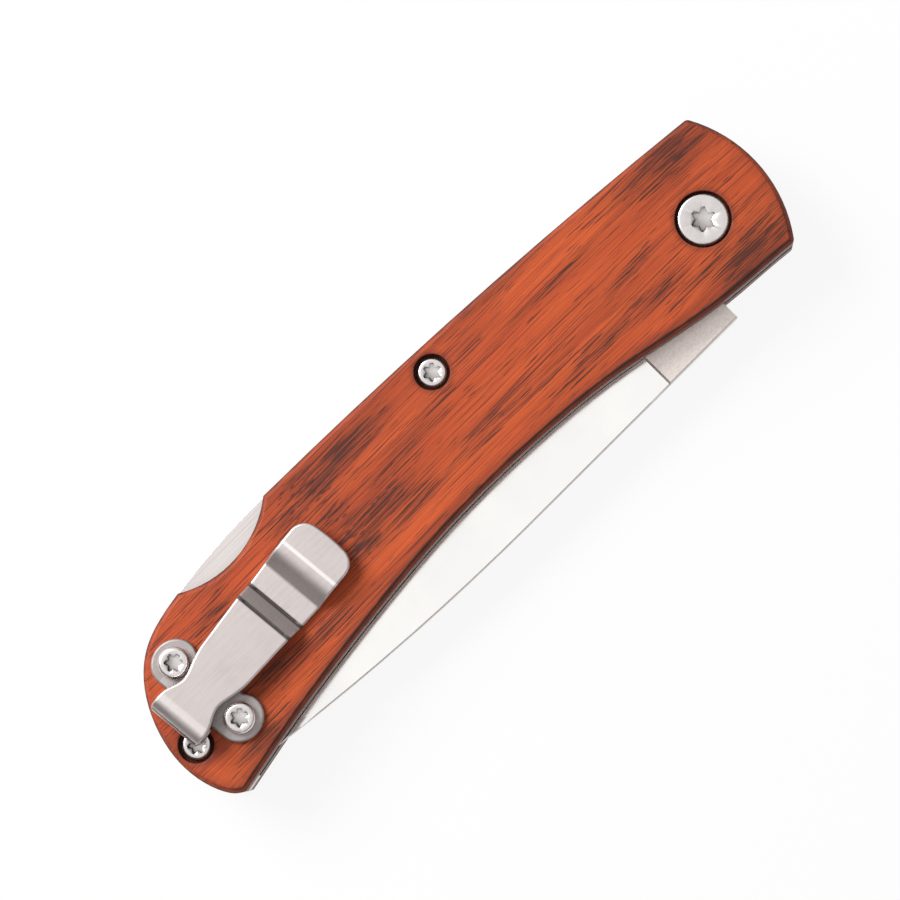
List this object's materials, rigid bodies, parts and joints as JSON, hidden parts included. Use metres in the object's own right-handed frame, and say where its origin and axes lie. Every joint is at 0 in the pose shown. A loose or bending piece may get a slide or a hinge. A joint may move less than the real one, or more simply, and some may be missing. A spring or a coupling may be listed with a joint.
{
  "type": "folding pocket knife",
  "caption": "Lock-back folding pocket knife with wooden scales on steel liners, a fold-over pocket clip, and a ground blade that locks open on a rocking back bar.",
  "frame": {"origin": "a point on the far scale's outer face, under the middle of the closed handle's length", "axes": "+X to the nose with the blade's pivot, +Y to the back with the lock bar, +Z to the clip side"},
  "size_m": [0.112, 0.0283, 0.0159],
  "materials": {
    "rosewood": "oiled red rosewood with dark grain lines and a darkened chamfer",
    "liner_steel": "plain ground steel",
    "blade_steel": "satin ricasso, polished grind",
    "lock_steel": "brushed along its length",
    "spring_steel": "tempered spring steel",
    "clip_steel": "satin stamped sheet",
    "screw_steel": "turned stainless steel",
    "washer_bronze": "plain bronze"
  },
  "bodies": {
    "handle": {"clip_side_scale": "rosewood", "far_side_scale": "rosewood", "clip_side_liner": "liner_steel", "far_side_liner": "liner_steel", "clip_side_washer": "washer_bronze", "far_side_washer": "washer_bronze", "pivot_barrel": "screw_steel", "pivot_screw": "screw_steel", "rocker_sleeve": "screw_steel", "rocker_screw_clip_side": "screw_steel", "rocker_screw_far_side": "screw_steel", "butt_spacer": "lock_steel", "spacer_dowel": "screw_steel", "butt_sleeve": "screw_steel", "butt_screw_clip_side": "screw_steel", "butt_screw_far_side": "screw_steel", "pocket_clip": "clip_steel", "clip_screw_back": "screw_steel", "clip_screw_belly": "screw_steel"},
    "blade": {"blade": "blade_steel"},
    "lock_bar": {"lock_bar": "lock_steel"},
    "lock_spring": {"lock_spring": "spring_steel"}
  },
  "joints": [
    {"name": "blade_hinge", "type": "hinge", "parent": "handle", "child": "blade", "pos_m": [0.0454, -0.0021, 0.00592], "axis": [0, 0, 1], "range_deg": [0, 180]},
    {"name": "lock_bar_rock", "type": "hinge", "parent": "handle", "child": "lock_bar", "pos_m": [0.0051, 0.0092, 0.00592], "axis": [0, 0, -1], "range_deg": [-1.5, 1.2], "stiffness_Nm_per_rad": 2},
    {"name": "spring_flex", "type": "hinge", "parent": "handle", "child": "lock_spring", "pos_m": [-0.0464, 0.0034, 0.00592], "axis": [0, 0, 1], "range_deg": [-1.2, 0.96]}
  ],
  "couplings": [
    {"joint": "spring_flex", "follows": "lock_bar_rock", "ratio": 0.782}
  ]
}
